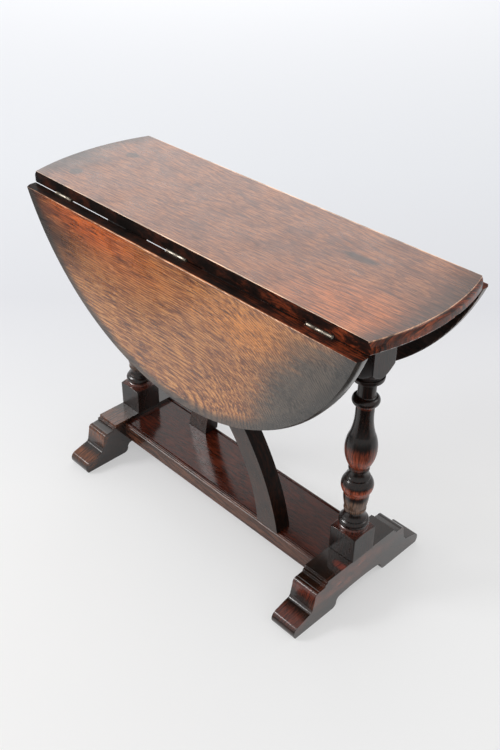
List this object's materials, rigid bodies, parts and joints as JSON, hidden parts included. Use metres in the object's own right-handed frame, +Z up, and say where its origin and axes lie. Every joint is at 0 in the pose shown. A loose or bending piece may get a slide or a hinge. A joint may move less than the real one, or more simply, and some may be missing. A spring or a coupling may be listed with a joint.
{
  "type": "drop leaf coffee table",
  "caption": "Low round drop leaf coffee table in dark oak, with turned legs on stepped sledge feet, a long shelf and swing brackets that carry the raised leaves.",
  "frame": {"origin": "on the floor, under the middle of the fixed top board", "axes": "+X along the hinge lines, +Y across them towards the back leaf, +Z up"},
  "size_m": [0.677, 0.2814, 0.508],
  "materials": {
    "top_oak": "glossy polish, worn at the corners",
    "leaf_oak": "glossy polish",
    "dark_oak": "glossy dark polish, rubbed red on the high turnings",
    "shelf_oak": "glossy polish",
    "bracket_oak": "satin dark polish",
    "bare_oak": "dull stained oak",
    "pin_oak": "dull oak dowel",
    "hinge_steel": "worn steel",
    "screw_steel": "worn steel"
  },
  "bodies": {
    "base": {"top_board": "top_oak", "right_leg": "dark_oak", "left_leg": "dark_oak", "right_foot": "dark_oak", "left_foot": "dark_oak", "shelf": "shelf_oak", "top_rail": "bare_oak", "rail_screws": "screw_steel", "front_board_plate_1": "hinge_steel", "front_board_plate_2": "hinge_steel", "front_board_plate_3": "hinge_steel", "front_hinge_pin_1": "hinge_steel", "front_hinge_pin_2": "hinge_steel", "front_hinge_pin_3": "hinge_steel", "front_board_screws": "screw_steel", "front_foot_pin": "pin_oak", "front_top_pin": "pin_oak", "back_board_plate_1": "hinge_steel", "back_board_plate_2": "hinge_steel", "back_board_plate_3": "hinge_steel", "back_hinge_pin_1": "hinge_steel", "back_hinge_pin_2": "hinge_steel", "back_hinge_pin_3": "hinge_steel", "back_board_screws": "screw_steel", "back_foot_pin": "pin_oak", "back_top_pin": "pin_oak"},
    "front_leaf": {"front_leaf": "leaf_oak", "front_leaf_plate_1": "hinge_steel", "front_leaf_plate_2": "hinge_steel", "front_leaf_plate_3": "hinge_steel", "front_leaf_screws": "screw_steel"},
    "front_bracket": {"front_bracket_arm": "bracket_oak", "front_bracket_rail": "bracket_oak"},
    "back_leaf": {"back_leaf": "leaf_oak", "back_leaf_plate_1": "hinge_steel", "back_leaf_plate_2": "hinge_steel", "back_leaf_plate_3": "hinge_steel", "back_leaf_screws": "screw_steel"},
    "back_bracket": {"back_bracket_arm": "bracket_oak", "back_bracket_rail": "bracket_oak"}
  },
  "joints": [
    {"name": "front_leaf_hinge", "type": "hinge", "parent": "base", "child": "front_leaf", "pos_m": [0, -0.1073, 0.4901], "axis": [-1, 0, 0], "range_deg": [0, 92]},
    {"name": "back_leaf_hinge", "type": "hinge", "parent": "base", "child": "back_leaf", "pos_m": [0, 0.1073, 0.4901], "axis": [1, 0, 0], "range_deg": [0, 92]},
    {"name": "front_bracket_pivot", "type": "hinge", "parent": "base", "child": "front_bracket", "pos_m": [0.125, -0.041, 0.3], "axis": [0, 0, 1], "range_deg": [0, 12]},
    {"name": "back_bracket_pivot", "type": "hinge", "parent": "base", "child": "back_bracket", "pos_m": [-0.125, 0.041, 0.3], "axis": [0, 0, 1], "range_deg": [0, 12]}
  ]
}
